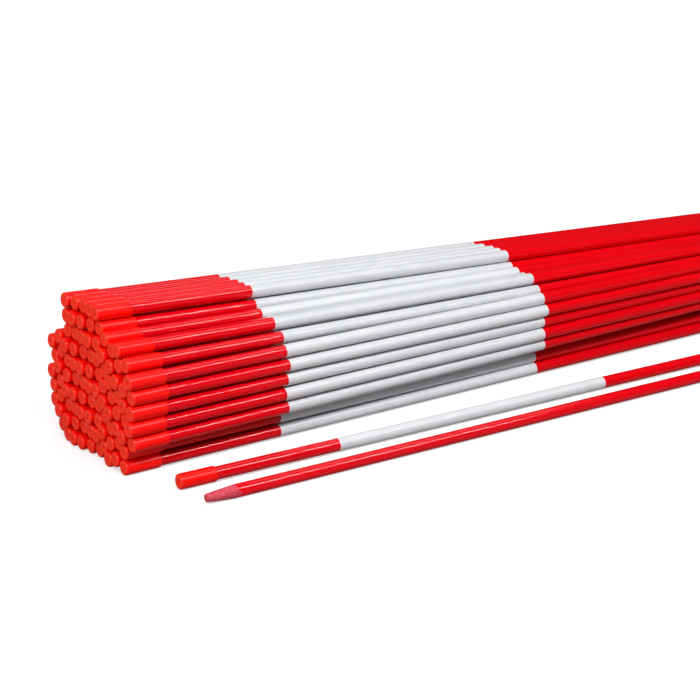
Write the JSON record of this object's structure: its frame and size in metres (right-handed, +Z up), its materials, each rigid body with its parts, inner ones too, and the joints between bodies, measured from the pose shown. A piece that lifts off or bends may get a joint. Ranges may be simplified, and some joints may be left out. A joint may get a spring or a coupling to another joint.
{
  "type": "driveway snow marker",
  "caption": "Strapped bundle of round red fibreglass driveway snow markers, each with a reflective white sleeve, an orange-red end cap and a ground point, with loose ones lying beside it.",
  "frame": {"origin": "on the floor under the middle of the whole pack", "axes": "+X along the markers from the capped ends of the bundle towards its points, +Y from the loose markers towards the bundle, +Z up"},
  "size_m": [1.2359, 0.2178, 0.0978],
  "materials": {
    "rod_red": "gloss",
    "cap_red": "satin",
    "sleeve_white": "satin",
    "strap_black": "satin",
    "seal_steel": "brushed"
  },
  "bodies": {
    "bundle": {"rods_column_01": "rod_red", "rods_column_02": "rod_red", "rods_column_03": "rod_red", "rods_column_04": "rod_red", "rods_column_05": "rod_red", "rods_column_06": "rod_red", "rods_column_07": "rod_red", "rods_column_08": "rod_red", "rods_column_09": "rod_red", "rods_column_10": "rod_red", "rods_column_11": "rod_red", "rods_column_12": "rod_red", "sleeves_column_01": "sleeve_white", "sleeves_column_02": "sleeve_white", "sleeves_column_03": "sleeve_white", "sleeves_column_04": "sleeve_white", "sleeves_column_05": "sleeve_white", "sleeves_column_06": "sleeve_white", "sleeves_column_07": "sleeve_white", "sleeves_column_08": "sleeve_white", "sleeves_column_09": "sleeve_white", "sleeves_column_10": "sleeve_white", "sleeves_column_11": "sleeve_white", "sleeves_column_12": "sleeve_white", "caps_column_01": "cap_red", "caps_column_02": "cap_red", "caps_column_03": "cap_red", "caps_column_04": "cap_red", "caps_column_05": "cap_red", "caps_column_06": "cap_red", "caps_column_07": "cap_red", "caps_column_08": "cap_red", "caps_column_09": "cap_red", "caps_column_10": "cap_red", "caps_column_11": "cap_red", "caps_column_12": "cap_red", "front_strap": "strap_black", "front_strap_seal": "seal_steel", "rear_strap": "strap_black", "rear_strap_seal": "seal_steel"},
    "loose_marker_a": {"loose_a_rod": "rod_red", "loose_a_sleeve": "sleeve_white"},
    "loose_cap_a": {"loose_a_cap": "cap_red"},
    "loose_marker_b": {"loose_b_rod": "rod_red", "loose_b_sleeve": "sleeve_white"},
    "loose_cap_b": {"loose_b_cap": "cap_red"}
  },
  "joints": [
    {"name": "pick_up_a", "type": "slide", "parent": "bundle", "child": "loose_marker_a", "axis": [0, 0, 1], "range_m": [0, 0.15]},
    {"name": "pick_up_b", "type": "slide", "parent": "bundle", "child": "loose_marker_b", "axis": [0, 0, 1], "range_m": [0, 0.15]},
    {"name": "cap_off_a", "type": "slide", "parent": "loose_marker_a", "child": "loose_cap_a", "axis": [-0.9992, 0.0401, 0.0007], "range_m": [0, 0.04]},
    {"name": "cap_off_b", "type": "slide", "parent": "loose_marker_b", "child": "loose_cap_b", "axis": [0.9993, -0.0366, 0.0007], "range_m": [0, 0.04]}
  ]
}
